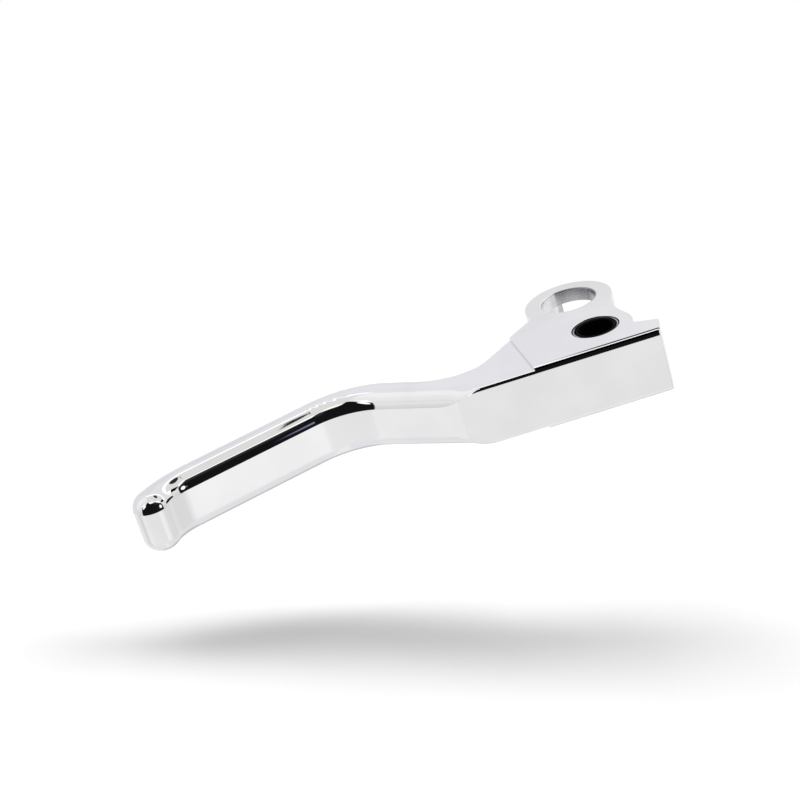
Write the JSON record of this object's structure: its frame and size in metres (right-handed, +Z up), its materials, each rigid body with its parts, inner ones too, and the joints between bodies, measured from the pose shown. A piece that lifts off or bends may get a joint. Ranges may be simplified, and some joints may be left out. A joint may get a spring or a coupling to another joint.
{
  "type": "clutch lever",
  "caption": "Short chromed clutch lever: bent blade with a rounded tip, thick flat head with a bushed pivot bore and a slotted eye for the cable's anchor pin.",
  "frame": {"origin": "on the pivot axis at mid height of the head", "axes": "+X inboard along the flat rear face of the head, away from the blade; +Y forward, from the rider towards the eye; +Z up along the pivot axis"},
  "size_m": [0.1526, 0.0574, 0.019],
  "materials": {
    "chrome": "bright chrome plate on polished aluminium",
    "sleeve_steel": "plain machined steel",
    "black_polymer": "black low-friction polymer"
  },
  "bodies": {
    "bush": {"pivot_bush": "black_polymer"},
    "lever": {"lever_body": "chrome", "bush_sleeve": "sleeve_steel"}
  },
  "joints": [
    {"name": "lever_pivot", "type": "hinge", "parent": "bush", "child": "lever", "pos_m": [0, 0, 0], "axis": [0, 0, 1], "range_deg": [0, 25]}
  ]
}
